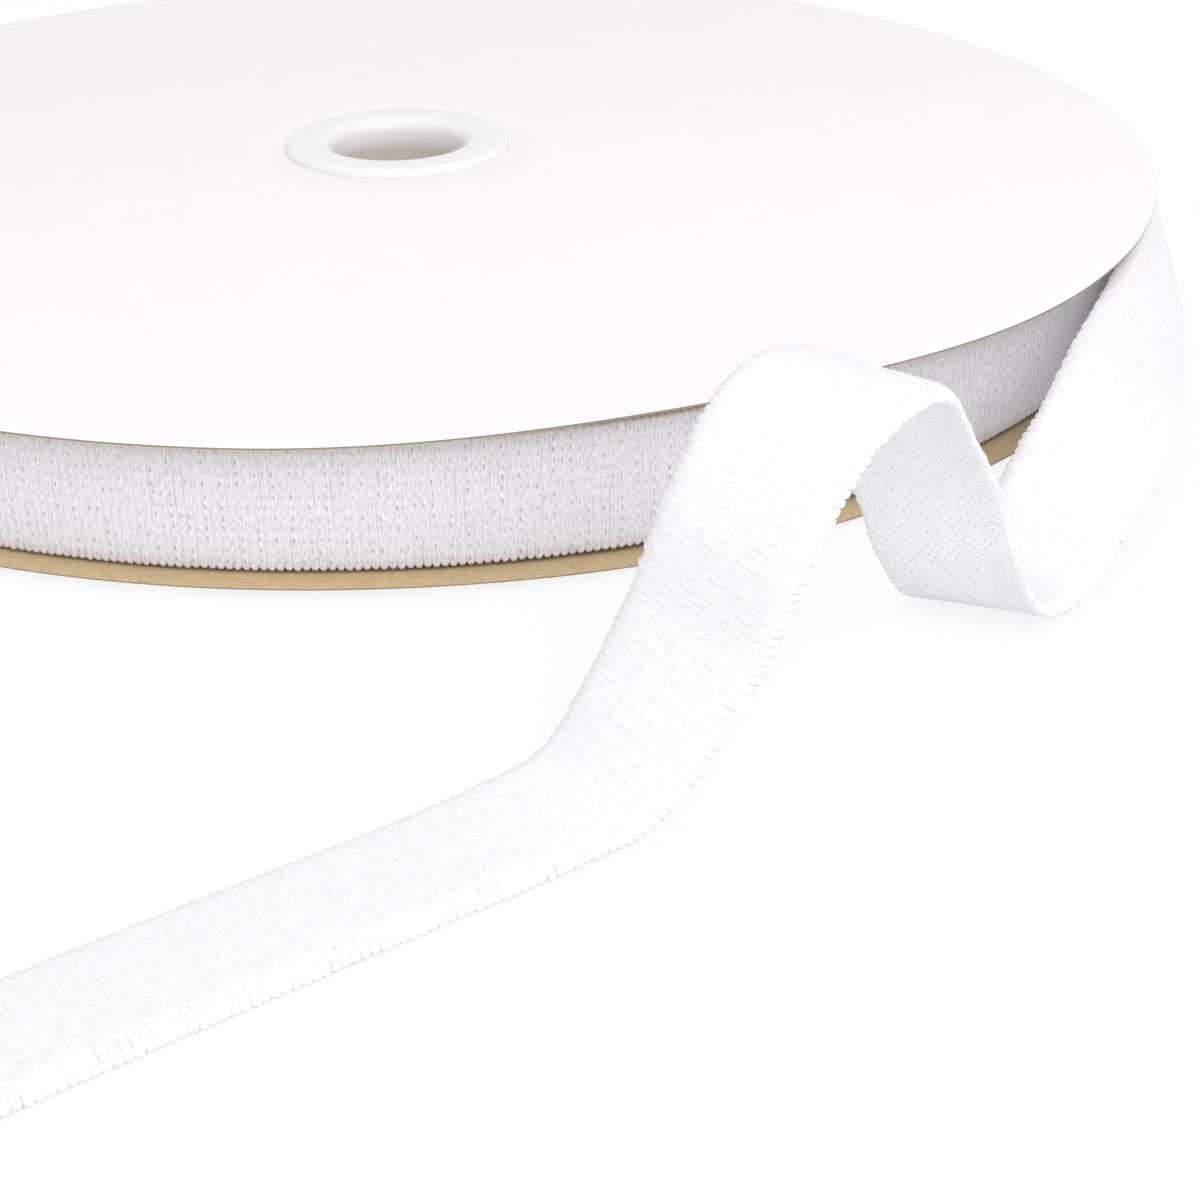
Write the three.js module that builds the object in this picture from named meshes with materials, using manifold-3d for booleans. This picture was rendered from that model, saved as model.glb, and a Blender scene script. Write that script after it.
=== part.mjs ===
// Reel of pile tape: two card flanges on a two-part snap hub, a card core tube,
// the wound tape and its free end. Millimetres, +Z along the reel's axis.
// The origin is on the axis, at the surface the reel lies on.

import * as THREE from 'three';
import { mergeVertices } from 'three/addons/utils/BufferGeometryUtils.js';
import Module from 'manifold-3d';

// Tape
const TAPE_WIDTH = 20;
const TAPE_THICKNESS = 2.2;
const PACK_RADIUS = 132.5;
const TURN_GAP = 0.5;
const LAST_TURN_ANGLE = 375;
const EXIT_ANGLE = 14;

// Card flanges and core tube
const FLANGE_DIAMETER = 280;
const FLANGE_THICKNESS = 0.5;
const CORE_WALL = 3.2;

// Moulded hub
const BORE_DIAMETER = 25;
const LIP_DIAMETER = 42;
const LIP_HEIGHT = 1.6;
const LIP_EDGE_RADIUS = 1.2;
const MOUTH_RADIUS = 2.6;
const INNER_SLEEVE_WALL = 1.6;
const OUTER_SLEEVE_WALL = 1.8;
const SPIGOT_DEPTH = 1.6;
const FINGER_COUNT = 4;
const FINGER_LENGTH = 9;
const FINGER_SLOT = 2.4;
const BARB_DEPTH = 0.7;
const BARB_LENGTH = 2.6;
const BARB_LEAD = 1.8;

// Clearances
const SIDE_CLEARANCE = 0.3;
const SEAT_CLEARANCE = 0.3;

// Facets of a full circle
const RIM_FACETS = 120;
const HUB_FACETS = 48;
const TURN_STEPS = 100;
const STEPS_PER_LEG = 3;

// Free end of the tape, from the reel outwards. Each row is the centre of the tape, x, y and z,
// then the way its top edge points: the heading round Z and the rise from level, in degrees.
const TAIL_ROUTE = [
  [137.5, 17, 12.4, 177, 89],
  [139.5, -2.5, 12.4, 174, 81],
  [139.5, -23, 12.4, 173, 74],
  [134.5, -43.5, 12, 172, 67],
  [127.5, -64, 12, 170, 58],
  [119, -85, 13.5, 168, 48],
  [111.5, -103, 16, 166, 38],
  [104, -120, 18, 164, 28],
  [98, -131.5, 17, 160, 20],
  [91, -138.5, 10, 153, 12],
  [85, -144, 3.8, 147, 5],
  [79, -150, 1.9, 144, -2],
  [73.5, -155.5, 4.2, 145, -6],
  [69, -159, 12, 149, -7],
  [65, -161, 23, 152, -5],
  [60, -165.5, 33.5, 150, -1],
  [55, -172.5, 43.5, 147, 5],
  [48, -182, 47, 146, 11],
  [41.5, -189, 44.5, 145, 15],
  [35.5, -192, 34, 143, 16],
  [31, -191.5, 21, 141, 13],
  [25, -193, 10.5, 136, 8],
  [18.5, -195.5, 3.3, 130, 3],
  [9.5, -200.5, 1.8, 127, 1],
  [0, -206, 1.3, 125, 0],
  [-16, -215.5, 1.3, 123, 0],
  [-32.5, -225.5, 1.3, 121, 0],
  [-48.5, -235.5, 1.3, 120, 0],
  [-60, -243, 1.3, 119, 0],
];

// Heights of the stack, from the surface upwards
const lowerFlangeBase = LIP_HEIGHT;
const lowerFlangeTop = lowerFlangeBase + FLANGE_THICKNESS;
const upperFlangeBase = lowerFlangeTop + TAPE_WIDTH + 2 * SIDE_CLEARANCE;
const upperFlangeTop = upperFlangeBase + FLANGE_THICKNESS;
const reelTop = upperFlangeTop + LIP_HEIGHT;
const tapeBase = lowerFlangeTop + SIDE_CLEARANCE;
const tapeMiddle = tapeBase + TAPE_WIDTH / 2;

// Radii, from the bore outwards
const boreRadius = BORE_DIAMETER / 2;
const lipRadius = LIP_DIAMETER / 2;
const innerSleeveRadius = boreRadius + INNER_SLEEVE_WALL;
const outerSleeveBore = innerSleeveRadius + SEAT_CLEARANCE;
const outerSleeveRadius = outerSleeveBore + OUTER_SLEEVE_WALL;
const flangeHoleRadius = outerSleeveRadius + SEAT_CLEARANCE;
const coreRadius = flangeHoleRadius + CORE_WALL;
const packBoreRadius = coreRadius + SEAT_CLEARANCE;

// Snap joint of the two half hubs
const fingerEnd = LIP_HEIGHT + SEAT_CLEARANCE;
const barbTop = fingerEnd + BARB_LENGTH;
const grooveRadius = innerSleeveRadius + BARB_DEPTH + SEAT_CLEARANCE;
const grooveTop = barbTop + SEAT_CLEARANCE;
const spigotEnd = upperFlangeBase - SPIGOT_DEPTH;
const outerSleeveEnd = spigotEnd - SEAT_CLEARANCE;

// Last turn of the tape, a spiral over the pack
const turnPitch = TAPE_THICKNESS + TURN_GAP;
const turnStartRadius = PACK_RADIUS + TURN_GAP + TAPE_THICKNESS / 2;

const radians = THREE.MathUtils.degToRad;

const wasm = await Module();
wasm.setup();

const whiteBoard = new THREE.MeshStandardMaterial({ color: 0xf6f4f2, roughness: 0.75, metalness: 0 });
const kraftTube = new THREE.MeshStandardMaterial({ color: 0xbda784, roughness: 0.9, metalness: 0 });
const whiteMoulding = new THREE.MeshStandardMaterial({ color: 0xf3f3f2, roughness: 0.45, metalness: 0 });
const whitePile = new THREE.MeshStandardMaterial({ color: 0xf1f0f3, roughness: 0.95, metalness: 0 });

// A closed profile of [radius, height] corners, turned about Z.
function turned(profile, facets) {
  const points = [...profile, profile[0]].map(([radius, height]) => new THREE.Vector2(radius, height));
  const geometry = new THREE.LatheGeometry(points, facets);
  geometry.rotateX(Math.PI / 2);
  return geometry;
}

function toSolid(geometry) {
  const bare = geometry.clone();
  bare.deleteAttribute('normal');
  bare.deleteAttribute('uv');
  const merged = mergeVertices(bare, 1e-4);
  return new wasm.Manifold(new wasm.Mesh({
    numProp: 3,
    vertProperties: new Float32Array(merged.attributes.position.array),
    triVerts: new Uint32Array(merged.index.array),
  }));
}

function toGeometry(solid) {
  const mesh = solid.getMesh();
  const geometry = new THREE.BufferGeometry();
  geometry.setAttribute('position', new THREE.BufferAttribute(new Float32Array(mesh.vertProperties), 3));
  geometry.setIndex(new THREE.BufferAttribute(new Uint32Array(mesh.triVerts), 1));
  geometry.computeVertexNormals();
  return geometry;
}

// Points of a rounded outer corner, from the side of the lip to its face.
function roundedCorner(radius, height, towards, rounding) {
  const steps = 4;
  const corner = [];
  for (let i = 0; i <= steps; i += 1) {
    const turn = (i / steps) * Math.PI / 2;
    corner.push([
      radius - rounding * (1 - Math.cos(turn)),
      height - towards * rounding * (1 - Math.sin(turn)),
    ]);
  }
  return corner;
}

// Points of a rounded inner corner, from the lip's face into the bore.
function roundedMouth(radius, height, towards, rounding) {
  return roundedCorner(radius, height, towards, rounding)
    .reverse()
    .map(([r, z]) => [2 * radius - r, z]);
}

function flangeDisc(base) {
  return turned([
    [flangeHoleRadius, base],
    [FLANGE_DIAMETER / 2, base],
    [FLANGE_DIAMETER / 2, base + FLANGE_THICKNESS],
    [flangeHoleRadius, base + FLANGE_THICKNESS],
  ], RIM_FACETS);
}

function coreTube() {
  return turned([
    [flangeHoleRadius, lowerFlangeTop],
    [coreRadius, lowerFlangeTop],
    [coreRadius, upperFlangeBase],
    [flangeHoleRadius, upperFlangeBase],
  ], HUB_FACETS);
}

// Upper half hub: lip, spigot in the flange's hole and a sleeve that ends in barbed snap fingers.
function hubUpper() {
  const sleeve = toSolid(turned([
    [boreRadius, fingerEnd],
    [innerSleeveRadius - BARB_DEPTH / 2, fingerEnd],
    [innerSleeveRadius + BARB_DEPTH, fingerEnd + BARB_LEAD],
    [innerSleeveRadius + BARB_DEPTH, barbTop],
    [innerSleeveRadius, barbTop],
    [innerSleeveRadius, spigotEnd],
    [outerSleeveRadius, spigotEnd],
    [outerSleeveRadius, upperFlangeTop],
    [lipRadius, upperFlangeTop],
    ...roundedCorner(lipRadius, reelTop, 1, LIP_EDGE_RADIUS),
    ...roundedMouth(boreRadius, reelTop, 1, MOUTH_RADIUS),
  ], HUB_FACETS));
  let hub = sleeve;
  for (let i = 0; i < FINGER_COUNT; i += 1) {
    const slot = new THREE.BoxGeometry(lipRadius, FINGER_SLOT, FINGER_LENGTH + fingerEnd);
    slot.translate(lipRadius / 2, 0, (FINGER_LENGTH + fingerEnd) / 2);
    slot.rotateZ((i + 0.5) * 2 * Math.PI / FINGER_COUNT);
    hub = hub.subtract(toSolid(slot));
  }
  return toGeometry(hub);
}

// Lower half hub: lip that the reel stands on and a sleeve with the groove that holds the barbs.
function hubLower() {
  return turned([
    ...roundedMouth(boreRadius, 0, -1, LIP_EDGE_RADIUS).reverse(),
    ...roundedCorner(lipRadius, 0, -1, LIP_EDGE_RADIUS).reverse(),
    [lipRadius, lowerFlangeBase],
    [outerSleeveRadius, lowerFlangeBase],
    [outerSleeveRadius, outerSleeveEnd],
    [outerSleeveBore, outerSleeveEnd],
    [outerSleeveBore, grooveTop],
    [grooveRadius, grooveTop],
    [grooveRadius, LIP_HEIGHT],
    [boreRadius, LIP_HEIGHT],
  ], HUB_FACETS);
}

function woundTape() {
  return turned([
    [packBoreRadius, tapeBase],
    [PACK_RADIUS, tapeBase],
    [PACK_RADIUS, tapeBase + TAPE_WIDTH],
    [packBoreRadius, tapeBase + TAPE_WIDTH],
  ], RIM_FACETS);
}

// A flat band through stations, each a centre with the directions across and out of the tape's face.
function band(stations) {
  const positions = [];
  const corner = new THREE.Vector3();
  for (const { centre, across, face } of stations) {
    for (const [side, depth] of [[1, 1], [-1, 1], [-1, -1], [1, -1]]) {
      corner.copy(centre)
        .addScaledVector(across, side * TAPE_WIDTH / 2)
        .addScaledVector(face, depth * TAPE_THICKNESS / 2);
      positions.push(corner.x, corner.y, corner.z);
    }
  }
  const index = [0, 1, 2, 0, 2, 3];
  const last = (stations.length - 1) * 4;
  index.push(last, last + 2, last + 1, last, last + 3, last + 2);
  for (let ring = 0; ring < last; ring += 4) {
    for (let k = 0; k < 4; k += 1) {
      const next = (k + 1) % 4;
      index.push(ring + k, ring + 4 + k, ring + next);
      index.push(ring + next, ring + 4 + k, ring + 4 + next);
    }
  }
  const geometry = new THREE.BufferGeometry();
  geometry.setAttribute('position', new THREE.Float32BufferAttribute(positions, 3));
  geometry.setIndex(index);
  geometry.computeVertexNormals();
  return geometry;
}

// The last turn runs clockwise, seen from above, and ends at the exit angle.
function lastTurnStation(swept) {
  const angle = radians(EXIT_ANGLE + LAST_TURN_ANGLE - swept);
  const radius = turnStartRadius + turnPitch * swept / 360;
  const outward = new THREE.Vector3(Math.cos(angle), Math.sin(angle), 0);
  return {
    centre: outward.clone().multiplyScalar(radius).setZ(tapeMiddle),
    across: new THREE.Vector3(0, 0, 1),
    face: outward,
  };
}

function outerTurn() {
  const stations = [];
  for (let i = 0; i <= TURN_STEPS; i += 1) {
    stations.push(lastTurnStation(LAST_TURN_ANGLE * i / TURN_STEPS));
  }
  return stations;
}

// The free end starts where the last turn stops and follows its route to a square cut.
function tapeTail() {
  const exit = lastTurnStation(LAST_TURN_ANGLE);
  const leave = new THREE.Vector3().crossVectors(exit.across, exit.face).negate();
  const start = exit.centre.clone().addScaledVector(leave, SEAT_CLEARANCE);
  const centres = [start];
  const edges = [exit.across];
  for (const [x, y, z, heading, rise] of TAIL_ROUTE) {
    const level = Math.cos(radians(rise));
    centres.push(new THREE.Vector3(x, y, z));
    edges.push(new THREE.Vector3(
      level * Math.cos(radians(heading)),
      level * Math.sin(radians(heading)),
      Math.sin(radians(rise)),
    ));
  }
  const path = new THREE.CatmullRomCurve3(centres, false, 'catmullrom', 0.5);
  const edgePath = new THREE.CatmullRomCurve3(edges, false, 'catmullrom', 0.5);
  const steps = (centres.length - 1) * STEPS_PER_LEG;
  const stations = [];
  for (let i = 0; i <= steps; i += 1) {
    const along = path.getTangent(i / steps);
    const edge = edgePath.getPoint(i / steps);
    const across = edge.addScaledVector(along, -edge.dot(along)).normalize();
    stations.push({
      centre: path.getPoint(i / steps),
      across,
      face: new THREE.Vector3().crossVectors(across, along),
    });
  }
  return stations;
}

// Least gap between faces of the winding where it laps over itself.
function leastLapGap(stations) {
  const perTurn = Math.round(TURN_STEPS * 360 / LAST_TURN_ANGLE);
  let least = Infinity;
  for (let i = 0; i + perTurn < stations.length; i += 1) {
    for (const lap of stations.slice(i + perTurn - 1, i + perTurn + 2)) {
      const gap = lap.centre.distanceTo(stations[i].centre) - TAPE_THICKNESS;
      least = Math.min(least, gap);
    }
  }
  return least;
}

const turnStations = outerTurn();
console.log(`least gap of the last turn to itself: ${leastLapGap(turnStations).toFixed(2)} mm`);

const reel = new THREE.Group();

function addPiece(name, geometry, material) {
  const mesh = new THREE.Mesh(geometry, material);
  mesh.name = name;
  reel.add(mesh);
}

addPiece('lower_flange', flangeDisc(lowerFlangeBase), whiteBoard);
addPiece('upper_flange', flangeDisc(upperFlangeBase), whiteBoard);
addPiece('hub_lower', hubLower(), whiteMoulding);
addPiece('hub_upper', hubUpper(), whiteMoulding);
addPiece('core_tube', coreTube(), kraftTube);
addPiece('wound_tape', woundTape(), whitePile);
addPiece('outer_turn', band(turnStations), whitePile);
addPiece('tape_tail', band(tapeTail()), whitePile);

export default reel;
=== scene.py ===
import math

import bpy
import numpy as np
from mathutils import Euler, Matrix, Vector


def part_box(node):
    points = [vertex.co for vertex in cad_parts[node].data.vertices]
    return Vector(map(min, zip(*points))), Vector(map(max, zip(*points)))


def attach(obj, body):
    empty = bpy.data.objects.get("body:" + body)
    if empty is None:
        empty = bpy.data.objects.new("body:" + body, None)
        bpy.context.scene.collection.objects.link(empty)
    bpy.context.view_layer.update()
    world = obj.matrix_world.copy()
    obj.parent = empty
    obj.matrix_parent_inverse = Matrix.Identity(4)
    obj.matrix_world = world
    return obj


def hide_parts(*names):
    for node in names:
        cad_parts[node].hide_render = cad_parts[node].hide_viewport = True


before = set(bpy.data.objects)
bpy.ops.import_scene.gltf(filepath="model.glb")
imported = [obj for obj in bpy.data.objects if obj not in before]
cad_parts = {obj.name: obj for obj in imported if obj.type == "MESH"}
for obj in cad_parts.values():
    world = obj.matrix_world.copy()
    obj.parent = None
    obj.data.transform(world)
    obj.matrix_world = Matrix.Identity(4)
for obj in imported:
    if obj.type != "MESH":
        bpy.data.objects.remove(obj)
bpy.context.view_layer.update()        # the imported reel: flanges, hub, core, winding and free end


# camera, at the height and angle of the photograph

photoCamera = {
    "place": (0.0, -0.4135, 0.1437),
    "lens": 66.75,           # mm on a 36 mm wide sensor
    "yaw": 5.17,             # degrees to the right of +Y
    "pitch": 27.9,           # degrees below the horizon
    "roll": -0.64,
}

bpy.ops.object.select_all(action="DESELECT")
bpy.ops.object.camera_add(location=photoCamera["place"])
camera = bpy.context.object
level = Euler((math.radians(90 - photoCamera["pitch"]), 0, math.radians(-photoCamera["yaw"])))
turn = Matrix.Rotation(math.radians(photoCamera["roll"]), 3, "Z")
camera.rotation_euler = (level.to_matrix() @ turn).to_euler()
camera.data.sensor_width = 36
camera.data.lens = photoCamera["lens"]
camera.data.clip_start = 0.01
bpy.context.scene.camera = camera
bpy.context.scene.view_settings.view_transform = "Standard"
print("camera set")


# materials

def linearColour(hexText):
    channels = [int(hexText[i:i + 2], 16) / 255 for i in (0, 2, 4)]
    linear = [c / 12.92 if c <= 0.04045 else ((c + 0.055) / 1.055) ** 2.4 for c in channels]
    return [*linear, 1.0]


def addNode(tree, kind, settings=None, inputs=None):
    node = tree.nodes.new(kind)
    for name, value in (settings or {}).items():
        setattr(node, name, value)
    for name, value in (inputs or {}).items():
        if isinstance(value, bpy.types.NodeSocket):
            tree.links.new(value, node.inputs[name])
        else:
            node.inputs[name].default_value = value
    return node


def newMaterial(name, roughness, ior):
    material = bpy.data.materials.new(name)
    material.use_nodes = True
    shader = material.node_tree.nodes["Principled BSDF"]
    shader.inputs["Roughness"].default_value = roughness
    shader.inputs["IOR"].default_value = ior
    return material, material.node_tree, shader


boardLook = {
    "white": "f8f6f7",
    "whiteShade": "f6f4f5",
    "kraft": "cdb690",
    "kraftDark": "bca57e",
    "cutEdge": "9a9183",
    "cutEdgeDark": "857c6d",
    "mottle": 9.0,           # mm across a cloud of the coating
    "fibre": 0.9,            # mm across a paper fibre, coarser than real so that it shows
}


def clayCoatedBoard():
    # white-lined card: a smooth calendered coat with a faint cloudiness and a dull gloss
    material, tree, shader = newMaterial("clay_coated_board", 0.55, 1.5)
    place = addNode(tree, "ShaderNodeTexCoord")
    clouds = addNode(tree, "ShaderNodeTexNoise", None, {
        "Vector": place.outputs["Object"], "Scale": 1000 / boardLook["mottle"], "Detail": 3.0})
    grain = addNode(tree, "ShaderNodeTexNoise", None, {
        "Vector": place.outputs["Object"], "Scale": 1000 / boardLook["fibre"], "Detail": 2.0})
    colour = addNode(tree, "ShaderNodeMix", {"data_type": "RGBA"}, {
        0: clouds.outputs["Fac"],
        6: linearColour(boardLook["white"]),
        7: linearColour(boardLook["whiteShade"])})
    bump = addNode(tree, "ShaderNodeBump", None, {
        "Height": grain.outputs["Fac"], "Strength": 0.15, "Distance": 0.00005})
    tree.links.new(colour.outputs[2], shader.inputs["Base Color"])
    tree.links.new(bump.outputs["Normal"], shader.inputs["Normal"])
    return material


def kraftBoard(name):
    # unbleached paper: brown, fibrous and quite matt, with darker flecks
    material, tree, shader = newMaterial(name, 0.9, 1.45)
    place = addNode(tree, "ShaderNodeTexCoord")
    fibres = addNode(tree, "ShaderNodeTexNoise", None, {
        "Vector": place.outputs["Object"], "Scale": 1000 / boardLook["fibre"],
        "Detail": 6.0, "Roughness": 0.7})
    flecks = addNode(tree, "ShaderNodeMapRange", {"interpolation_type": "SMOOTHSTEP"}, {
        "Value": fibres.outputs["Fac"], "From Min": 0.42, "From Max": 0.72})
    colour = addNode(tree, "ShaderNodeMix", {"data_type": "RGBA"}, {
        0: flecks.outputs["Result"],
        6: linearColour(boardLook["kraft"]),
        7: linearColour(boardLook["kraftDark"])})
    bump = addNode(tree, "ShaderNodeBump", None, {
        "Height": fibres.outputs["Fac"], "Strength": 0.25, "Distance": 0.0001})
    tree.links.new(colour.outputs[2], shader.inputs["Base Color"])
    tree.links.new(bump.outputs["Normal"], shader.inputs["Normal"])
    return material


def cutBoardEdge():
    # die-cut edge: grey-brown plies pressed together, so it reads as one thin dark line
    material, tree, shader = newMaterial("cut_board_edge", 0.95, 1.45)
    place = addNode(tree, "ShaderNodeTexCoord")
    plies = addNode(tree, "ShaderNodeTexNoise", None, {
        "Vector": place.outputs["Object"], "Scale": 1000 / boardLook["fibre"], "Detail": 4.0})
    colour = addNode(tree, "ShaderNodeMix", {"data_type": "RGBA"}, {
        0: plies.outputs["Fac"],
        6: linearColour(boardLook["cutEdge"]),
        7: linearColour(boardLook["cutEdgeDark"])})
    tree.links.new(colour.outputs[2], shader.inputs["Base Color"])
    return material


def mouldedPolypropylene():
    # satin moulded polypropylene: milky white, light carries a little way into it,
    # and the parts low down in the bore are painted a darker tan as shade
    look = {
        "colour": "f3f2f3",
        "shade": "f0eff0",
        # painted shade: the darker tan of the parts low down in the bore
        "sleeve": "d3cec4",
        "boreShadeHeight": (0.0185, 0.0218),    # between these heights the painted shade low in the bore gives way to the lip's colour
        "flow": 14.0,                        # mm across a flow mark
    }
    material, tree, shader = newMaterial("moulded_polypropylene", 0.38, 1.49)
    place = addNode(tree, "ShaderNodeTexCoord")
    flow = addNode(tree, "ShaderNodeTexNoise", None, {
        "Vector": place.outputs["Object"], "Scale": 1000 / look["flow"],
        "Detail": 2.0, "Distortion": 0.6})
    colour = addNode(tree, "ShaderNodeMix", {"data_type": "RGBA"}, {
        0: flow.outputs["Fac"], 6: linearColour(look["colour"]), 7: linearColour(look["shade"])})
    parts = addNode(tree, "ShaderNodeSeparateXYZ", None, {"Vector": place.outputs["Object"]})
    # below these heights the colour is painted shade, darker down in the bore
    lip = addNode(tree, "ShaderNodeMapRange", {"interpolation_type": "SMOOTHSTEP"}, {
        "Value": parts.outputs["Z"],
        "From Min": look["boreShadeHeight"][0], "From Max": look["boreShadeHeight"][1]})
    seen = addNode(tree, "ShaderNodeMix", {"data_type": "RGBA"}, {
        0: lip.outputs["Result"], 6: linearColour(look["sleeve"]), 7: colour.outputs[2]})
    tree.links.new(seen.outputs[2], shader.inputs["Base Color"])
    shader.inputs["Subsurface Weight"].default_value = 0.25
    shader.inputs["Subsurface Radius"].default_value = (1.0, 0.95, 0.85)
    shader.inputs["Subsurface Scale"].default_value = 0.002
    return material


tapeLook = {
    "pile": "f6f5f8",
    # painted shade in the low parts between the tufts
    "pileShade": "dad8df",
    # painted shade in the gaps at the stitches and between the ribs
    "pileGapShade": "9d9ba4",
    "back": "f6f6f9",
    # painted shade in the hollows of the Vs and in the pinholes
    "backHollowShade": "c6c7d1",
    "rib": 1.2,              # mm from rib to rib, as the looped edges
    "stitch": 1.67,          # mm from stitch to stitch in a rib
    "fleck": (0.16, 0.30),   # half width and length of the gap at a stitch, in ribs and stitches
    "fleckTurn": 10,         # degrees that the gaps lean
    "otherRib": 0.4,         # depth of the gaps on every other rib
    "ribLine": (0.32, 0.5),  # shares of a rib from its crest where its line begins and is full
    "parting": (3.0, 7.0),   # mm along and across of a patch where the pile parts between ribs
    "parted": (0.12, 0.4),   # how full the lines are outside and inside such a patch
    # mm from the middle where short lines between the ribs begin and are full, and how full
    "edgeLine": (7.5, 9.8, 0.4),
    "edgeShift": 1.0,        # mm that those lines reach further in from the lower edge
    # mm along and across of a tuft of filaments, coarser than real so that it shows
    "fuzz": (0.22, 1.2),
    # mm along the free end over which the painted shade of the gaps and tufts fades, as the free end is
    # more brightly lit, and what is left
    "brightEndFade": (0, 90, 0.24),
    "wale": 1.5,             # mm between the chains of the knitted back
    "course": 0.73,          # mm between the stitches of a chain
    "clear": (0.05, 0.22),   # how clear the Vs of the chains are where they lie slack and tight
    "tightEdge": (-9.0, -2.0, 0.3),    # mm across where one edge is tightest and ends, and what it adds
    # mm between the holes in the chains, on the slant, and their half size to that
    "pinhole": (1.05, 0.22),
}


def stitchGaps(tree, flat, pitch, size, lean):
    # soft oval gaps on a slightly uneven grid along and across the tape,
    # with a chance value and the place in the grid for each
    scaled = addNode(tree, "ShaderNodeVectorMath", {"operation": "DIVIDE"}, {
        0: flat, 1: (*pitch, 1)})
    grid = addNode(tree, "ShaderNodeVectorMath", {"operation": "ADD"}, {
        0: scaled.outputs["Vector"], 1: (0.15, 0.15, 0)})
    cells = addNode(tree, "ShaderNodeTexVoronoi", {"voronoi_dimensions": "2D"}, {
        "Vector": grid.outputs["Vector"], "Scale": 1.0, "Randomness": 0.3})
    away = addNode(tree, "ShaderNodeVectorMath", {"operation": "SUBTRACT"}, {
        0: grid.outputs["Vector"], 1: cells.outputs["Position"]})
    leaning = addNode(tree, "ShaderNodeMapping", None, {
        "Vector": away.outputs["Vector"], "Rotation": (0, 0, math.radians(lean))})
    shaped = addNode(tree, "ShaderNodeVectorMath", {"operation": "DIVIDE"}, {
        0: leaning.outputs["Vector"], 1: (*size, 1)})
    distance = addNode(tree, "ShaderNodeVectorMath", {"operation": "LENGTH"}, {
        0: shaped.outputs["Vector"]})
    gap = addNode(tree, "ShaderNodeMapRange", {"interpolation_type": "SMOOTHSTEP"}, {
        "Value": distance.outputs["Value"],
        "From Min": 0.1, "From Max": 1.3, "To Min": 1.0, "To Max": 0.0})
    chance = addNode(tree, "ShaderNodeSeparateColor", None, {"Color": cells.outputs["Color"]})
    return gap.outputs["Result"], chance.outputs["Red"], cells.outputs["Position"]


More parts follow.
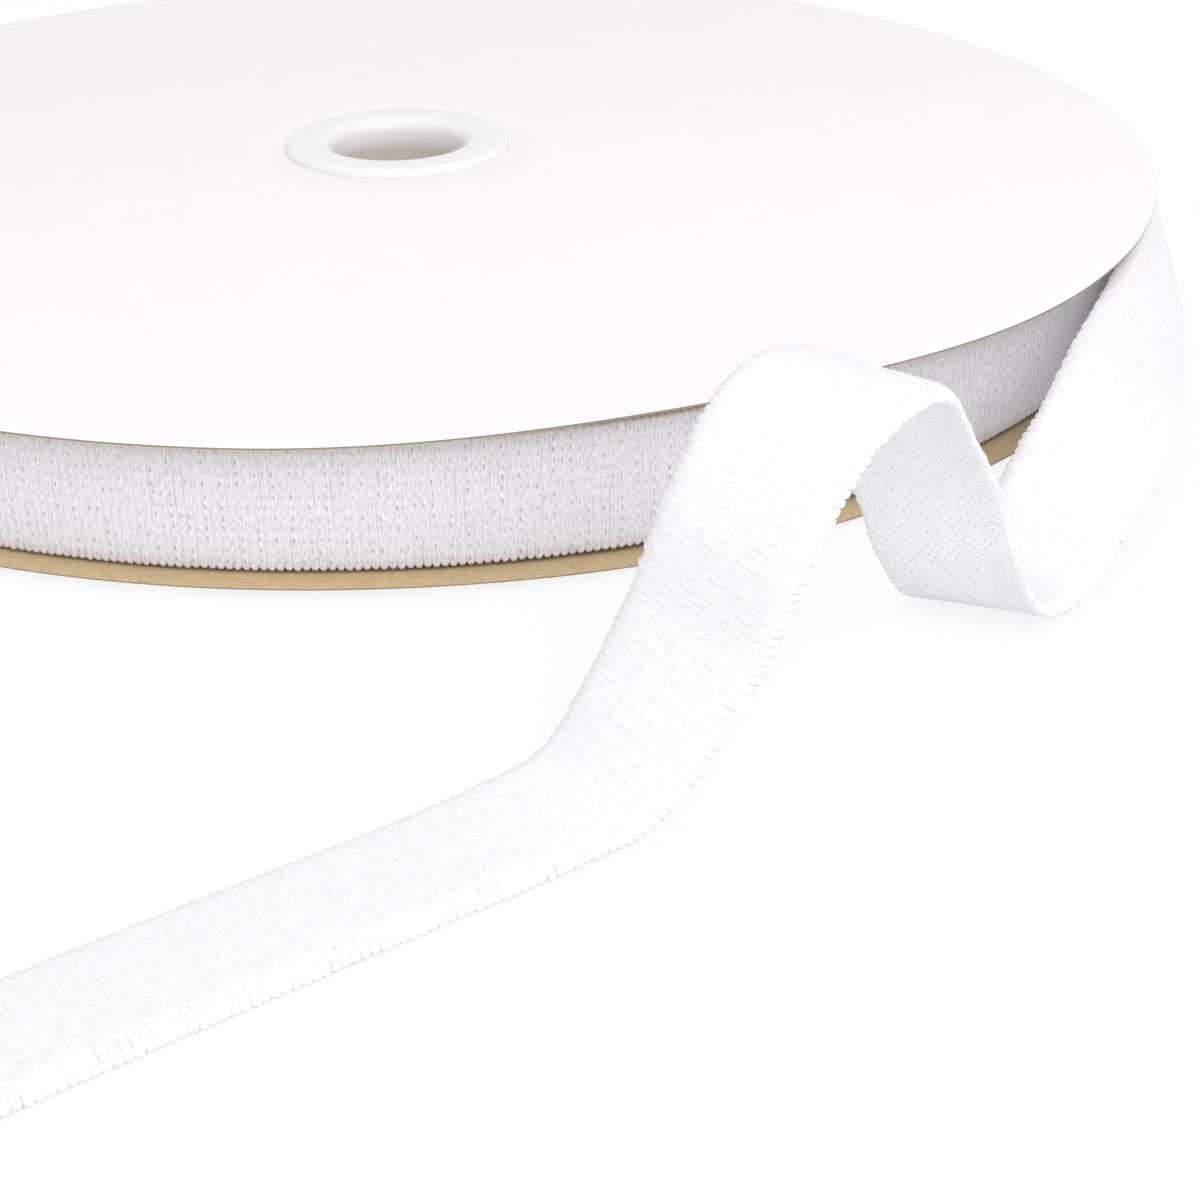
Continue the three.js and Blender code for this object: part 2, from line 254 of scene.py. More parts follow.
def loopPile():
    # nylon loop pile: soft ribs across the tape, a small gap at each stitch whose shade is painted
    # dark, a dry sheen
    material, tree, shader = newMaterial("loop_pile", 0.85, 1.53)
    flat = addNode(tree, "ShaderNodeUVMap", {"uv_map": "tapeFlat"})
    parts = addNode(tree, "ShaderNodeSeparateXYZ", None, {"Vector": flat.outputs["UV"]})

    # gaps at the stitches, painted dark as shade, deep on every other rib and shallow on those between
    fleck, fleckChance, fleckPlace = stitchGaps(
        tree, flat.outputs["UV"], (tapeLook["rib"], tapeLook["stitch"]),
        tapeLook["fleck"], tapeLook["fleckTurn"])
    fleckParts = addNode(tree, "ShaderNodeSeparateXYZ", None, {"Vector": fleckPlace})
    otherRib = addNode(tree, "ShaderNodeMath", {"operation": "PINGPONG"}, {
        0: fleckParts.outputs["X"], 1: 1.0})
    deepRib = addNode(tree, "ShaderNodeMapRange", None, {
        "Value": otherRib.outputs[0], "To Min": 1.0, "To Max": tapeLook["otherRib"]})
    uneven = addNode(tree, "ShaderNodeMapRange", None, {
        "Value": fleckChance, "To Min": 0.2, "To Max": 1.0})
    depth = addNode(tree, "ShaderNodeMath", {"operation": "MULTIPLY"}, {
        0: deepRib.outputs["Result"], 1: uneven.outputs["Result"]})
    someFlecks = addNode(tree, "ShaderNodeMath", {"operation": "MULTIPLY"}, {
        0: fleck, 1: depth.outputs[0]})
    # the painted shade of the gaps and tufts fades along the free end, which is more brightly lit
    fadeFrom, fadeTo, gapsLeft = tapeLook["brightEndFade"]
    brightEndFade = addNode(tree, "ShaderNodeMapRange", {"interpolation_type": "SMOOTHSTEP"}, {
        "Value": parts.outputs["X"],
        "From Min": fadeFrom, "From Max": fadeTo, "To Min": 1.0, "To Max": gapsLeft})

    # faint lines of painted shade between the ribs, stronger in patches
    fromRib = addNode(tree, "ShaderNodeMath", {"operation": "PINGPONG"}, {
        0: parts.outputs["X"], 1: tapeLook["rib"] / 2})
    lineFrom, lineFull = (share * tapeLook["rib"] for share in tapeLook["ribLine"])
    line = addNode(tree, "ShaderNodeMapRange", {"interpolation_type": "SMOOTHSTEP"}, {
        "Value": fromRib.outputs[0], "From Min": lineFrom, "From Max": lineFull})
    patchPlace = addNode(tree, "ShaderNodeVectorMath", {"operation": "DIVIDE"}, {
        0: flat.outputs["UV"], 1: (*tapeLook["parting"], 1)})
    patches = addNode(tree, "ShaderNodeTexNoise", {"noise_dimensions": "2D"}, {
        "Vector": patchPlace.outputs["Vector"], "Scale": 1.0, "Detail": 2.0})
    closed, parted = tapeLook["parted"]
    parting = addNode(tree, "ShaderNodeMapRange", {"interpolation_type": "SMOOTHSTEP"}, {
        "Value": patches.outputs["Fac"],
        "From Min": 0.45, "From Max": 0.75, "To Min": closed, "To Max": parted})
    lines = addNode(tree, "ShaderNodeMath", {"operation": "MULTIPLY"}, {
        0: line.outputs["Result"], 1: parting.outputs["Result"]})
    allGaps = addNode(tree, "ShaderNodeMath", {"operation": "MAXIMUM"}, {
        0: someFlecks.outputs[0], 1: lines.outputs[0]})
    openGaps = addNode(tree, "ShaderNodeMath", {"operation": "MULTIPLY"}, {
        0: allGaps.outputs[0], 1: brightEndFade.outputs["Result"]})

    # short broken lines of painted shade towards both edges, where the loops are bound in
    shifted = addNode(tree, "ShaderNodeMath", {"operation": "SUBTRACT"}, {
        0: parts.outputs["Y"], 1: tapeLook["edgeShift"]})
    fromMiddle = addNode(tree, "ShaderNodeMath", {"operation": "ABSOLUTE"}, {0: shifted.outputs[0]})
    edgeFrom, edgeFull, edgeShare = tapeLook["edgeLine"]
    nearEdge = addNode(tree, "ShaderNodeMapRange", {"interpolation_type": "SMOOTHSTEP"}, {
        "Value": fromMiddle.outputs[0],
        "From Min": edgeFrom, "From Max": edgeFull, "To Min": 0.0, "To Max": edgeShare})
    someLines = addNode(tree, "ShaderNodeMapRange", None, {"Value": fleckChance, "From Min": 0.3})
    broken = addNode(tree, "ShaderNodeMath", {"operation": "MULTIPLY"}, {
        0: nearEdge.outputs["Result"], 1: someLines.outputs["Result"]})
    edgeLines = addNode(tree, "ShaderNodeMath", {"operation": "MULTIPLY"}, {
        0: line.outputs["Result"], 1: broken.outputs[0]})
    gaps = addNode(tree, "ShaderNodeMath", {"operation": "MAXIMUM"}, {
        0: openGaps.outputs[0], 1: edgeLines.outputs[0]})

    # filaments lying across the tape, their low parts painted darker as shade
    tuftPlace = addNode(tree, "ShaderNodeVectorMath", {"operation": "DIVIDE"}, {
        0: flat.outputs["UV"], 1: (*tapeLook["fuzz"], 1)})
    tufts = addNode(tree, "ShaderNodeTexNoise", {"noise_dimensions": "2D"}, {
        "Vector": tuftPlace.outputs["Vector"], "Scale": 1.0, "Detail": 3.0, "Roughness": 0.6})
    height = addNode(tree, "ShaderNodeMath", {"operation": "SUBTRACT"}, {
        0: tufts.outputs["Fac"], 1: gaps.outputs[0]})
    bump = addNode(tree, "ShaderNodeBump", None, {
        "Height": height.outputs[0], "Strength": 0.6, "Distance": 0.00015})
    low = addNode(tree, "ShaderNodeMapRange", None, {
        "Value": tufts.outputs["Fac"],
        "From Min": 0.3, "From Max": 0.7, "To Min": 1.0, "To Max": 0.0})
    shade = addNode(tree, "ShaderNodeMath", {"operation": "MULTIPLY"}, {
        0: low.outputs["Result"], 1: brightEndFade.outputs["Result"]})
    tone = addNode(tree, "ShaderNodeMix", {"data_type": "RGBA"}, {
        0: shade.outputs[0],
        6: linearColour(tapeLook["pile"]),
        7: linearColour(tapeLook["pileShade"])})
    # the gaps are painted in the dark colour, as shade
    colour = addNode(tree, "ShaderNodeMix", {"data_type": "RGBA"}, {
        0: gaps.outputs[0], 6: tone.outputs[2], 7: linearColour(tapeLook["pileGapShade"])})
    tree.links.new(colour.outputs[2], shader.inputs["Base Color"])
    tree.links.new(bump.outputs["Normal"], shader.inputs["Normal"])
    shader.inputs["Sheen Weight"].default_value = 0.2
    shader.inputs["Sheen Roughness"].default_value = 0.5
    return material


def knittedBack():
    # warp-knitted ground: chains of small Vs along the tape with pinholes between,
    # smoother than the pile
    material, tree, shader = newMaterial("knitted_back", 0.75, 1.53)
    flat = addNode(tree, "ShaderNodeUVMap", {"uv_map": "tapeFlat"})
    parts = addNode(tree, "ShaderNodeSeparateXYZ", None, {"Vector": flat.outputs["UV"]})
    wales = addNode(tree, "ShaderNodeMath", {"operation": "PINGPONG"}, {
        0: parts.outputs["Y"], 1: tapeLook["wale"] / 2})
    lean = addNode(tree, "ShaderNodeMath", {"operation": "ADD"}, {
        0: parts.outputs["X"], 1: wales.outputs[0]})
    angle = addNode(tree, "ShaderNodeMath", {"operation": "MULTIPLY"}, {
        0: lean.outputs[0], 1: 2 * math.pi / tapeLook["course"]})
    yarn = addNode(tree, "ShaderNodeMath", {"operation": "SINE"}, {0: angle.outputs[0]})
    hollow = addNode(tree, "ShaderNodeMapRange", {"interpolation_type": "SMOOTHSTEP"}, {
        "Value": yarn.outputs[0],
        "From Min": -0.9, "From Max": 0.5, "To Min": 1.0, "To Max": 0.0})

    # the Vs are drawn tight and clear along one edge and in patches, and lie slack elsewhere
    patches = addNode(tree, "ShaderNodeTexNoise", {"noise_dimensions": "2D"}, {
        "Vector": flat.outputs["UV"], "Scale": 0.25, "Detail": 2.0})
    slackShare, tightShare = tapeLook["clear"]
    clear = addNode(tree, "ShaderNodeMapRange", {"interpolation_type": "SMOOTHSTEP"}, {
        "Value": patches.outputs["Fac"],
        "From Min": 0.35, "From Max": 0.65, "To Min": slackShare, "To Max": tightShare})
    edgeFull, edgeEnd, edgeShare = tapeLook["tightEdge"]
    nearEdge = addNode(tree, "ShaderNodeMapRange", {"interpolation_type": "SMOOTHSTEP"}, {
        "Value": parts.outputs["Y"],
        "From Min": edgeFull, "From Max": edgeEnd, "To Min": edgeShare, "To Max": 0.0})
    tight = addNode(tree, "ShaderNodeMath", {"operation": "ADD"}, {
        0: clear.outputs["Result"], 1: nearEdge.outputs["Result"]})
    slopes = addNode(tree, "ShaderNodeMath", {"operation": "MULTIPLY"}, {
        0: hollow.outputs["Result"], 1: tight.outputs[0]})

    # pinholes, on the slant
    slant = addNode(tree, "ShaderNodeMapping", None, {
        "Vector": flat.outputs["UV"], "Rotation": (0, 0, math.radians(45))})
    holePitch, holeSize = tapeLook["pinhole"]
    hole, holeChance = stitchGaps(
        tree, slant.outputs["Vector"], (holePitch, holePitch), (holeSize, holeSize), 0)[:2]
    uneven = addNode(tree, "ShaderNodeMapRange", None, {
        "Value": holeChance, "To Min": 0.3, "To Max": 1.0})
    holes = addNode(tree, "ShaderNodeMath", {"operation": "MULTIPLY"}, {
        0: hole, 1: uneven.outputs["Result"]})
    depth = addNode(tree, "ShaderNodeMath", {"operation": "MAXIMUM"}, {
        0: slopes.outputs[0], 1: holes.outputs[0]})
    height = addNode(tree, "ShaderNodeMath", {"operation": "SUBTRACT"}, {
        0: 1.0, 1: depth.outputs[0]})
    # the hollows and pinholes are painted darker as shade
    colour = addNode(tree, "ShaderNodeMix", {"data_type": "RGBA"}, {
        0: depth.outputs[0],
        6: linearColour(tapeLook["back"]),
        7: linearColour(tapeLook["backHollowShade"])})
    bump = addNode(tree, "ShaderNodeBump", None, {
        "Height": height.outputs[0], "Strength": 0.4, "Distance": 0.00015})
    tree.links.new(colour.outputs[2], shader.inputs["Base Color"])
    tree.links.new(bump.outputs["Normal"], shader.inputs["Normal"])
    shader.inputs["Sheen Weight"].default_value = 0.1
    return material


whiteBoard = clayCoatedBoard()
brownBoard = kraftBoard("kraft_board")
boardEdge = cutBoardEdge()
moulding = mouldedPolypropylene()
pile = loopPile()
back = knittedBack()
print("materials made")


# the tape: flat stations along its length, dressed with ribs, looped edges and a knitted back

tape = {
    "thickness": 0.0022,
    "turnGap": 0.0005,       # air between the last turn and the pack
    "lastTurn": 375.0,       # degrees the last turn goes round
    "exitAngle": 14.0,       # degrees round Z where the free end leaves
    "rib": 0.0012,           # from rib to rib
    "stationsPerRib": 5,
    "ribFullness": 0.7,      # below 1 the ribs are rounder than a plain wave
    "faceShare": 0.76,       # share of the half width where the pile is level
    "crown": 0.06,           # share of the half thickness that it falls towards its sides
    "backShare": 0.9,        # share of the half width that the knitted back takes
    "routeSteps": 60,        # points of the curve between two rows of the route
    "seed": 20,
}
# how the ribs and the looped edges stand: the outline goes from the shoulder, where the pile
# bends down, to the rim, in shares of the half width and half thickness, of the ribs and of the loops
woundTape = {
    "ribDepth": 0.00012,
    "unevenness": 0.00004,
    # how far the looped edge draws in between ribs, below and above,
    # where the flange presses it straighter
    "loopDepth": (0.0007, 0.0003),
    "fray": 0.0001,          # how much shorter the shortest loop is
    "shoulder": [(0.975, 0.78, 1.0, 0.8), (0.93, 0.95, 1.0, 0.3)],
    "rim": [
        (0.995, 0.45, 1.0, 1.0), (1.0, 0.0, 0.6, 1.0),
        (0.99, -0.5, 0.2, 0.9), (0.965, -0.8, 0.0, 0.6),
    ],
}
brushedTape = {
    "ribDepth": 0.00006,
    "unevenness": 0.00004,
    "loopDepth": (0.0003, 0.0003),
    "fray": 0.0003,
    "shoulder": [(0.97, -0.05, 0.3, 0.8), (0.92, 0.4, 0.6, 0.3), (0.85, 0.78, 1.0, 0.0)],
    "rim": [
        (0.99, -0.3, 0.0, 0.9), (1.0, -0.5, 0.0, 1.0),
        (0.99, -0.68, 0.0, 0.9), (0.97, -0.88, 0.0, 0.6),
    ],
}

# free end, from the reel outwards: centre of the tape in metres,
# then the heading and rise of its top edge in degrees
tailRoute = [
    (0.1375, 0.017, 0.0124, 177, 89),
    (0.1395, -0.0025, 0.0124, 174, 81),
    (0.1395, -0.023, 0.0124, 173, 74),
    (0.1345, -0.0435, 0.012, 172, 67),
    (0.1275, -0.064, 0.012, 170, 58),
    (0.119, -0.085, 0.0135, 168, 48),
    (0.1115, -0.103, 0.016, 166, 38),
    (0.104, -0.12, 0.018, 164, 28),
    (0.098, -0.1315, 0.017, 160, 20),
    (0.091, -0.1385, 0.01, 153, 12),
    (0.085, -0.144, 0.0038, 147, 5),
    (0.079, -0.15, 0.0019, 144, -2),
    (0.0735, -0.1555, 0.0042, 145, -6),
    (0.069, -0.159, 0.012, 149, -7),
    (0.065, -0.161, 0.023, 152, -5),
    (0.06, -0.1655, 0.0335, 150, -1),
    (0.055, -0.1725, 0.0435, 147, 5),
    (0.048, -0.182, 0.047, 146, 11),
    (0.0415, -0.189, 0.0445, 145, 15),
    (0.0355, -0.192, 0.034, 143, 16),
    (0.031, -0.1915, 0.021, 141, 13),
    (0.025, -0.193, 0.0105, 136, 8),
    (0.0185, -0.1955, 0.0033, 130, 3),
    (0.0095, -0.2005, 0.0018, 127, 1),
    (0, -0.206, 0.0013, 125, 0),
    (-0.016, -0.2155, 0.0013, 123, 0),
    (-0.0325, -0.2255, 0.0013, 121, 0),
    (-0.0485, -0.2355, 0.0013, 120, 0),
    (-0.06, -0.243, 0.0013, 119, 0),
]

packLow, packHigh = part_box("wound_tape")
tapeWidth = packHigh.z - packLow.z
tapeMiddle = (packHigh.z + packLow.z) / 2
turnPitch = tape["thickness"] + tape["turnGap"]
turnStart = packHigh.x + tape["turnGap"] + tape["thickness"] / 2
stationStep = tape["rib"] / tape["stationsPerRib"]


def unit(vectors):
    return vectors / np.linalg.norm(vectors, axis=1, keepdims=True)


def spiral(startRadius, pitch, startAngle, swept):
    # clockwise seen from above, growing by one pitch in each turn
    angle = np.radians(startAngle - swept)
    radius = startRadius + pitch * swept / 360
    outward = np.stack([np.cos(angle), np.sin(angle), np.zeros_like(angle)], axis=1)
    centre = outward * radius[:, None]
    centre[:, 2] = tapeMiddle
    run = np.concatenate([[0], np.cumsum(np.linalg.norm(np.diff(centre, axis=0), axis=1))])
    across = np.tile([0.0, 0.0, 1.0], (len(swept), 1))
    return {"centre": centre, "across": across, "face": outward, "run": run}


def smoothThrough(points, perLeg):
    # cubic curve through the points, its slope at each the mean of the two legs
    ends = np.vstack([2 * points[0] - points[1], points, 2 * points[-1] - points[-2]])
    t = np.linspace(0, 1, perLeg, endpoint=False)[:, None]
    legs = []
    for before, start, end, after in zip(ends, ends[1:], ends[2:], ends[3:]):
        leave = (end - before) / 2
        arrive = (after - start) / 2
        near = (2 * t ** 3 - 3 * t ** 2 + 1) * start + (t ** 3 - 2 * t ** 2 + t) * leave
        far = (3 * t ** 2 - 2 * t ** 3) * end + (t ** 3 - t ** 2) * arrive
        legs.append(near + far)
    return np.vstack([*legs, points[-1:]])


def freeEnd(before):
    # the route's curve, laid on from the last of the stations before it, at even steps
    rows = np.array(tailRoute)
    heading = np.radians(rows[:, 3])
    rise = np.radians(rows[:, 4])
    level = np.cos(rise)
    edges = np.stack([level * np.cos(heading), level * np.sin(heading), np.sin(rise)], axis=1)
    line = smoothThrough(np.vstack([before["centre"][-1:], rows[:, :3]]), tape["routeSteps"])
    edge = smoothThrough(np.vstack([before["across"][-1:], edges]), tape["routeSteps"])
    run = np.concatenate([[0], np.cumsum(np.linalg.norm(np.diff(line, axis=0), axis=1))])
    even = np.arange(0, run[-1], stationStep)
    centre = np.stack([np.interp(even, run, line[:, k]) for k in range(3)], axis=1)
    edge = np.stack([np.interp(even, run, edge[:, k]) for k in range(3)], axis=1)
    along = unit(np.gradient(centre, axis=0))
    across = unit(edge - (edge * along).sum(1, keepdims=True) * along)
    return {"centre": centre, "across": across, "face": np.cross(across, along), "run": even}


def section(form, facePoints, backPoints):
    # closed outline of the tape, from its top edge over the pile and back along the ground:
    # across, height, share of the ribs, share of the looped edge, and whether it is pile
    half = tapeWidth / 2
    thick = tape["thickness"] / 2
    rows = [(w * half, h * thick, ribs, loops, 1) for w, h, ribs, loops in form["shoulder"]]
    for w in np.linspace(tape["faceShare"], -tape["faceShare"], facePoints):
        rows.append((w * half, thick * (1 - tape["crown"] * abs(w) ** 4), 1.0, 0.0, 1))
    rows += [(-w * half, h * thick, ribs, loops, 1) for w, h, ribs, loops in reversed(form["shoulder"])]
    rows += [(-w * half, h * thick, ribs, loops, 1) for w, h, ribs, loops in form["rim"]]
    for w in np.linspace(-tape["backShare"], tape["backShare"], backPoints):
        rows.append((w * half, -thick, 0.0, 0.0, 0))
    rows += [(w * half, h * thick, ribs, loops, 1) for w, h, ribs, loops in reversed(form["rim"])]
    return np.array(rows)


def layTape(name, stations, outline, offset, form=None):
    # the outline swept along the stations; offset is the tape's length before the first one
    count = len(stations["centre"])
    ring = len(outline)
    # half a step on, so that a station falls on each notch of the edge
    run = stations["run"] + offset + stationStep / 2
    across = np.tile(outline[:, 0], (count, 1))
    height = np.tile(outline[:, 1], (count, 1))
    if form:
        ribs = run / tape["rib"]
        index = np.round(ribs).astype(int)
        crest = np.abs(np.cos(math.pi * ribs)) ** tape["ribFullness"]
        bead = np.sqrt(np.maximum(0, 1 - (2 * (ribs - index)) ** 2))
        index -= index.min()
        chance = np.random.default_rng(tape["seed"])
        uneven = chance.normal(0, form["unevenness"], (index.max() + 1, ring))
        rise = form["ribDepth"] * (crest - 1)[:, None] + uneven[index]
        height += rise * outline[:, 2]
        fray = -form["fray"] * chance.random((index.max() + 1, 2))
        side = (outline[:, 0] > 0).astype(int)
        reach = np.take(form["loopDepth"], side) * (bead - 1)[:, None] + fray[index][:, side]
        across += reach * outline[:, 3] * np.sign(outline[:, 0])
    places = stations["centre"][:, None] + across[..., None] * stations["across"][:, None]
    places = places + height[..., None] * stations["face"][:, None]

    first = (np.arange(count - 1)[:, None] * ring + np.arange(ring)).ravel()
    nextOne = (np.arange(count - 1)[:, None] * ring + np.roll(np.arange(ring), -1)).ravel()
    quads = np.stack([first, first + ring, nextOne + ring, nextOne], axis=1)
    cap = np.arange(ring)
    faces = [*quads.tolist(), cap.tolist(), (cap[::-1] + (count - 1) * ring).tolist()]
    mesh = bpy.data.meshes.new(name)
    mesh.from_pydata(places.reshape(-1, 3).tolist(), [], faces)

    flat = np.stack([np.repeat(run, ring), np.tile(outline[:, 0], count)], axis=1) * 1000   # mm
    corners = np.zeros(len(mesh.loops), int)
    mesh.loops.foreach_get("vertex_index", corners)
    uv = mesh.uv_layers.new(name="tapeFlat")
    uv.data.foreach_set("uv", flat[corners].astype(np.float32).ravel())
    isPile = outline[:, 4] + np.roll(outline[:, 4], -1) > 0
    slots = np.concatenate([np.tile(np.where(isPile, 0, 1), count - 1), [0, 0]])
    mesh.materials.append(pile)
    mesh.materials.append(back)
    mesh.polygons.foreach_set("material_index", slots.astype(np.int32))
    mesh.polygons.foreach_set("use_smooth", np.ones(len(mesh.polygons), bool))
    piece = bpy.data.objects.new(name, mesh)
    bpy.context.scene.collection.objects.link(piece)
    return piece


# stations of the last turn, counted back from where the free end leaves
turnSweep = np.linspace(0, tape["lastTurn"], 2000)
turnRun = np.radians(turnSweep) * (turnStart + turnPitch * turnSweep / 720)
evenRun = np.arange(turnRun[-1], 0, -stationStep)[::-1]
lastTurn = spiral(turnStart, turnPitch, tape["exitAngle"] + tape["lastTurn"],
                  np.interp(evenRun, turnRun, turnSweep))
tail = freeEnd(lastTurn)

tailPiece = layTape("free_tape_end", tail, section(brushedTape, 15, 9), 0.0, brushedTape)
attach(tailPiece, "free_tape")
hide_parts("tape_tail")
print(f"free end laid, {tail['run'][-1] * 1000:.0f} mm of tape")

turnPiece = layTape("last_turn_of_tape", lastTurn, section(woundTape, 11, 3),
                    -lastTurn["run"][-1], woundTape)
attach(turnPiece, "free_tape")
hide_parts("outer_turn")

pack = {
    "bore": 0.0200,
    "pitch": 0.00215,
    "stepsPerTurn": 72,
    "pressed": 0.93,         # the turns under the last one are pressed a little flatter
}
turns = (packHigh.x - pack["bore"]) / pack["pitch"] - 1
innerTurns = spiral(pack["bore"] + tape["thickness"] / 2, pack["pitch"], 0,
                    np.linspace(0, 360 * turns, round(turns * pack["stepsPerTurn"]) + 1))
packOutline = section(woundTape, 2, 2)
packOutline[:, 1] *= pack["pressed"]
woundBefore = innerTurns["run"][-1] + lastTurn["run"][-1]
packPiece = layTape("wound_turns_of_tape", innerTurns, packOutline, -woundBefore)
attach(packPiece, "reel")
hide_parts("wound_tape")
print(f"winding laid, {turns:.0f} turns and {innerTurns['run'][-1]:.1f} m of tape under the last turn")


# turned pieces: a ring of edges drawn round a profile of radius and height

def turnedRing(name, profile, segments):
    radius, height = profile[0]
    bpy.ops.object.select_all(action="DESELECT")
    bpy.ops.mesh.primitive_circle_add(vertices=segments, radius=radius, location=(0, 0, height))
    piece = bpy.context.object
    piece.name = name
    bpy.ops.object.transform_apply(location=True)
    bpy.ops.object.mode_set(mode="EDIT")
    bpy.ops.mesh.select_all(action="SELECT")
    for nextRadius, nextHeight in [*profile[1:], profile[0]]:
        bpy.ops.mesh.extrude_region_move(TRANSFORM_OT_translate={"value": (0, 0, nextHeight - height)})
        grow = nextRadius / radius
        bpy.ops.transform.resize(value=(grow, grow, 1), center_override=(0, 0, nextHeight))
        radius, height = nextRadius, nextHeight
    bpy.ops.mesh.select_all(action="SELECT")
    bpy.ops.mesh.remove_doubles(threshold=1e-5)
    bpy.ops.mesh.normals_make_consistent(inside=False)
    bpy.ops.object.mode_set(mode="OBJECT")
    return piece


def smoothByAngle(piece, degrees=35):
    bpy.ops.object.select_all(action="DESELECT")
    bpy.context.view_layer.objects.active = piece
    piece.select_set(True)
    bpy.ops.object.shade_smooth_by_angle(angle=math.radians(degrees))


# card flanges, a little warped at the rim as the card lets go

flange = {
    "hole": 0.0165,
    "rings": (0.03, 0.055, 0.08, 0.1, 0.112, 0.122, 0.13, 0.135, 0.138),
    "segments": 240,
    "edgeBevel": 0.00014,    # the coating wraps over the edge as it is cut
    "warpStart": 0.06,       # radius where the card begins to lift
    "faceTilt": 0.3,         # upward share of the normal from which a face is no longer the cut edge
}
# each bulge: degrees round Z, degrees to either side, and the lift at the rim away from the tape
upperBulges = [(-71, 30, 0.0018), (70, 45, 0.0010)]
lowerBulges = [(-60, 36, 0.0004), (150, 50, 0.0005)]


def cutFlange(name, node, outward, bulges):
    low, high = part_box(node)
    radii = [flange["hole"], *flange["rings"], high.x]
    profile = [(r, low.z) for r in radii] + [(r, high.z) for r in reversed(radii)]
    disc = turnedRing(name, profile, flange["segments"])
    for vertex in disc.data.vertices:
        radius = math.hypot(vertex.co.x, vertex.co.y)
        angle = math.degrees(math.atan2(vertex.co.y, vertex.co.x))
        share = max(0.0, (radius - flange["warpStart"]) / (high.x - flange["warpStart"])) ** 2
        for middle, spread, lift in bulges:
            away = abs((angle - middle + 180) % 360 - 180) / spread
            if away < 1:
                vertex.co.z += outward * lift * share * (1 + math.cos(math.pi * away)) / 2
    bevel = disc.modifiers.new("edges", "BEVEL")
    bevel.width = flange["edgeBevel"]
    bevel.segments = 2
    bevel.limit_method = "ANGLE"
    bpy.context.view_layer.objects.active = disc
    bpy.ops.object.modifier_apply(modifier=bevel.name)
    for board in (whiteBoard, brownBoard, boardEdge):
        disc.data.materials.append(board)
    for face in disc.data.polygons:
        facing = face.normal.z * outward
        if facing > flange["faceTilt"]:
            face.material_index = 0
        elif facing < -flange["faceTilt"]:
            face.material_index = 1
        else:
            face.material_index = 2
    smoothByAngle(disc)
    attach(disc, "reel")
    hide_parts(node)


cutFlange("upper_card_flange", "upper_flange", 1, upperBulges)
cutFlange("lower_card_flange", "lower_flange", -1, lowerBulges)
print("flanges cut")


# moulded hub, two halves that snap together

hub = {
    "bore": 0.0125,
    "edge": 0.0012,          # rounding of the lip
    "mouth": 0.0026,         # rounding of the bore at the top
    "sleeve": 0.0141,        # outside of the upper half's sleeve
    "barb": 0.0148,
    "barbFoot": 0.01375,
    "barbLength": 0.0026,
    "barbLead": 0.0018,
    "spigot": 0.0162,        # seat in the flange's hole, and outside of the lower sleeve
    "spigotDepth": 0.0016,
    "socket": 0.0144,        # bore of the lower half's sleeve
    "groove": 0.0151,
    "grooveTop": 0.0048,
    "fingers": 4,
    "fingerSlot": 0.0024,
    "fingerLength": 0.009,
    "segments": 96,
    "cornerSteps": 6,
}


def roundedLip(lipRadius, face, towards, mouth):
    # the lip's rounding from its side over its face into the bore
    turns = [i / hub["cornerSteps"] * math.pi / 2 for i in range(hub["cornerSteps"] + 1)]
    drop = [(1 - math.cos(a), towards * (1 - math.sin(a))) for a in turns]
    outer = [(lipRadius - hub["edge"] * inwards, face - hub["edge"] * down) for inwards, down in drop]
    inner = [(hub["bore"] + mouth * inwards, face - mouth * down) for inwards, down in reversed(drop)]
    return outer + inner


def mouldUpperHub():
    low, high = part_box("hub_upper")
    flangeLow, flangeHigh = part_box("upper_flange")
    spigotEnd = flangeLow.z - hub["spigotDepth"]
    barbTop = low.z + hub["barbLength"]
    profile = [
        (hub["bore"], low.z),
        (hub["barbFoot"], low.z),
        (hub["barb"], low.z + hub["barbLead"]),
        (hub["barb"], barbTop),
        (hub["sleeve"], barbTop),
        (hub["sleeve"], spigotEnd),
        (hub["spigot"], spigotEnd),
        (hub["spigot"], flangeHigh.z),
        (high.x, flangeHigh.z),
        *roundedLip(high.x, high.z, 1, hub["mouth"]),
    ]
    half = turnedRing("upper_half_hub", profile, hub["segments"])
    half.data.materials.append(moulding)
    reach = high.x
    for i in range(hub["fingers"]):
        turn = (i + 0.5) * 2 * math.pi / hub["fingers"]
        bpy.ops.object.select_all(action="DESELECT")
        bpy.ops.mesh.primitive_cube_add(
            size=1, location=(reach / 2 * math.cos(turn), reach / 2 * math.sin(turn), low.z),
            rotation=(0, 0, turn), scale=(reach, hub["fingerSlot"], 2 * hub["fingerLength"]))
        cutter = bpy.context.object
        cut = half.modifiers.new("slot", "BOOLEAN")
        cut.operation = "DIFFERENCE"
        cut.object = cutter
        bpy.context.view_layer.objects.active = half
        bpy.ops.object.modifier_apply(modifier=cut.name)
        bpy.data.objects.remove(cutter)
    smoothByAngle(half)
    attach(half, "reel")
    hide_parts("hub_upper")


def mouldLowerHub():
    low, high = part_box("hub_lower")
    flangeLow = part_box("lower_flange")[0]
    profile = [
        *roundedLip(high.x, low.z, -1, hub["edge"]),
        (hub["bore"], flangeLow.z),
        (hub["groove"], flangeLow.z),
        (hub["groove"], hub["grooveTop"]),
        (hub["socket"], hub["grooveTop"]),
        (hub["socket"], high.z),
        (hub["spigot"], high.z),
        (hub["spigot"], flangeLow.z),
        (high.x, flangeLow.z),
    ]
    half = turnedRing("lower_half_hub", profile, hub["segments"])
    half.data.materials.append(moulding)
    smoothByAngle(half)
    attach(half, "reel")
    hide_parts("hub_lower")


mouldUpperHub()
mouldLowerHub()
print("hub moulded")


# core tube: the CAD tube, in spiral-wound kraft card

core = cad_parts["core_tube"]
core.data.materials.clear()
core.data.materials.append(kraftBoard("spiral_wound_card"))
print("core dressed")


# studio: white floor that keeps a soft shadow, an even white surround,
# a large lamp at the front right and a small low one under it

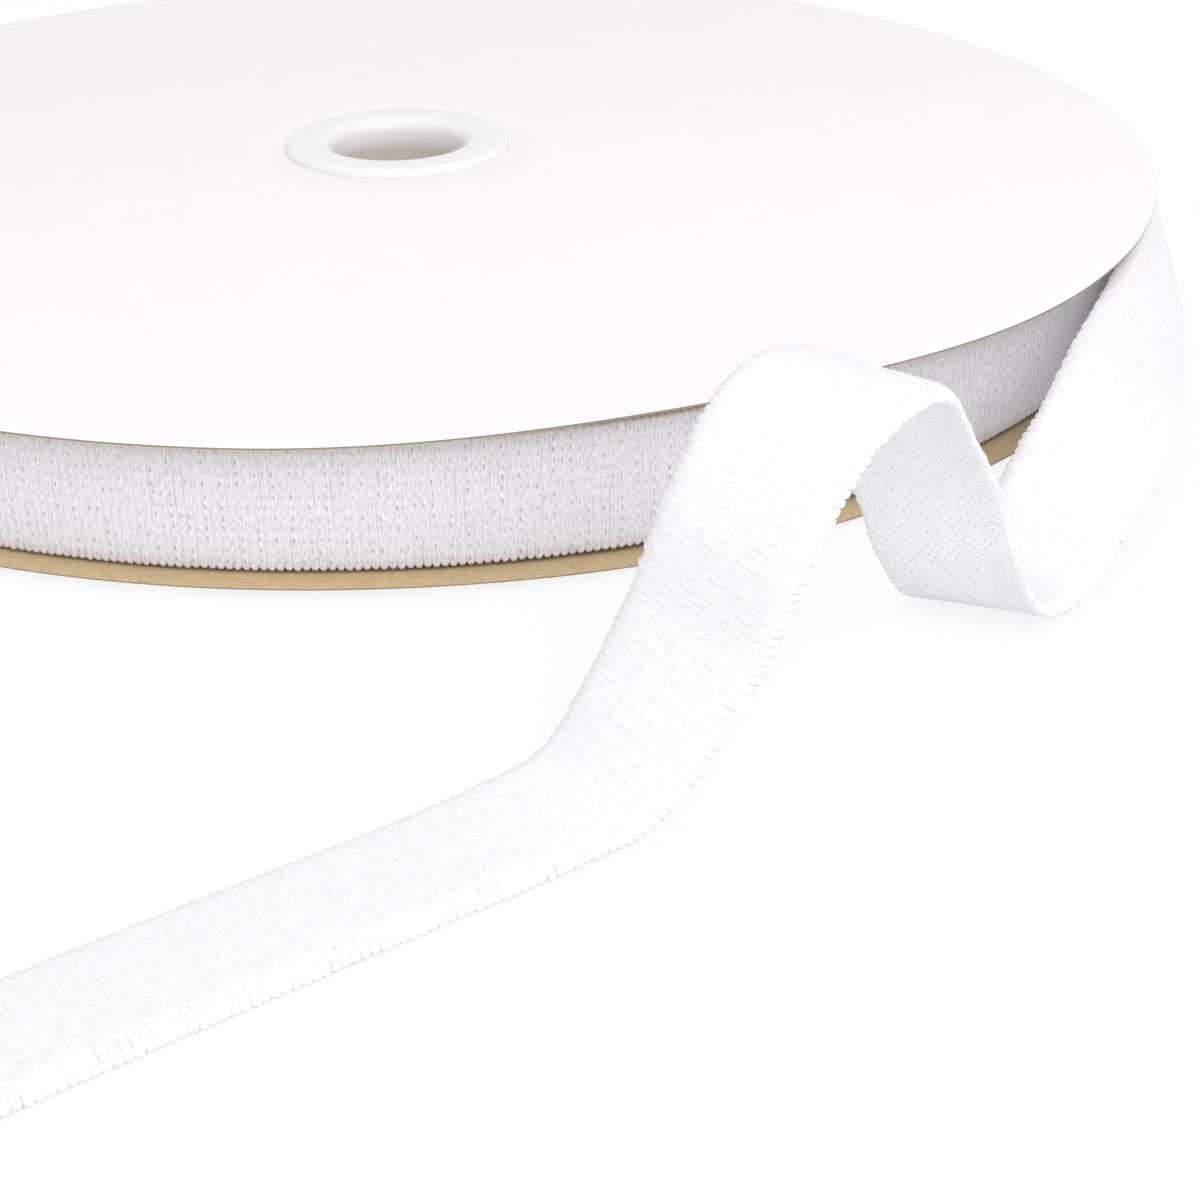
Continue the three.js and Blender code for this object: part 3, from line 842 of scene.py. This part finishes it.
studio = {
    "floorSize": 8.0,
    "floorColour": "f4f4f4",
    "shadowShare": 0.15,     # how much of the floor's own shading the camera sees
    "surround": 0.805,
    "lamps": [
        {"place": (0.3, -0.9, 0.95), "size": 1.0, "power": 6.6},
        {"place": (0.3, -0.75, 0.3), "size": 0.4, "power": 0.2},
    ],
}

bpy.ops.object.select_all(action="DESELECT")
bpy.ops.mesh.primitive_plane_add(size=studio["floorSize"], location=(0, 0, 0))
floor = bpy.context.object
floor.name = "studio_floor"
floorMaterial, floorTree, floorShader = newMaterial("white_sweep", 0.9, 1.45)
floorShader.inputs["Base Color"].default_value = linearColour(studio["floorColour"])
floorShader.inputs["Specular IOR Level"].default_value = 0.0
rays = addNode(floorTree, "ShaderNodeLightPath")
seenDirect = addNode(floorTree, "ShaderNodeMath", {"operation": "MAXIMUM"}, {
    0: rays.outputs["Is Camera Ray"], 1: rays.outputs["Is Glossy Ray"]})
seen = addNode(floorTree, "ShaderNodeMath", {"operation": "MAXIMUM"}, {
    0: seenDirect.outputs[0], 1: rays.outputs["Is Transmission Ray"]})
share = addNode(floorTree, "ShaderNodeMath", {"operation": "MULTIPLY"}, {
    0: seen.outputs[0], 1: 1 - studio["shadowShare"]})
glow = addNode(floorTree, "ShaderNodeEmission", None, {"Strength": 1.0})
mixed = addNode(floorTree, "ShaderNodeMixShader", None, {
    0: share.outputs[0], 1: floorShader.outputs["BSDF"], 2: glow.outputs["Emission"]})
floorTree.links.new(mixed.outputs[0], floorTree.nodes["Material Output"].inputs["Surface"])
floor.data.materials.append(floorMaterial)

world = bpy.data.worlds.new("white_surround")
bpy.context.scene.world = world
world.use_nodes = True
sky = world.node_tree
background = sky.nodes["Background"]
skyRays = addNode(sky, "ShaderNodeLightPath")
skySeen = addNode(sky, "ShaderNodeMath", {"operation": "MAXIMUM"}, {
    0: skyRays.outputs["Is Camera Ray"], 1: skyRays.outputs["Is Transmission Ray"]})
strength = addNode(sky, "ShaderNodeMapRange", None, {
    "Value": skySeen.outputs[0], "To Min": studio["surround"], "To Max": 1.0})
background.inputs["Color"].default_value = (1, 1, 1, 1)
sky.links.new(strength.outputs["Result"], background.inputs["Strength"])

for lampLook in studio["lamps"]:
    bpy.ops.object.light_add(type="AREA", location=lampLook["place"])
    lamp = bpy.context.object
    lamp.data.energy = lampLook["power"]
    lamp.data.size = lampLook["size"]
    lamp.rotation_euler = (-lamp.location).to_track_quat("-Z", "Y").to_euler()
print("studio lit")
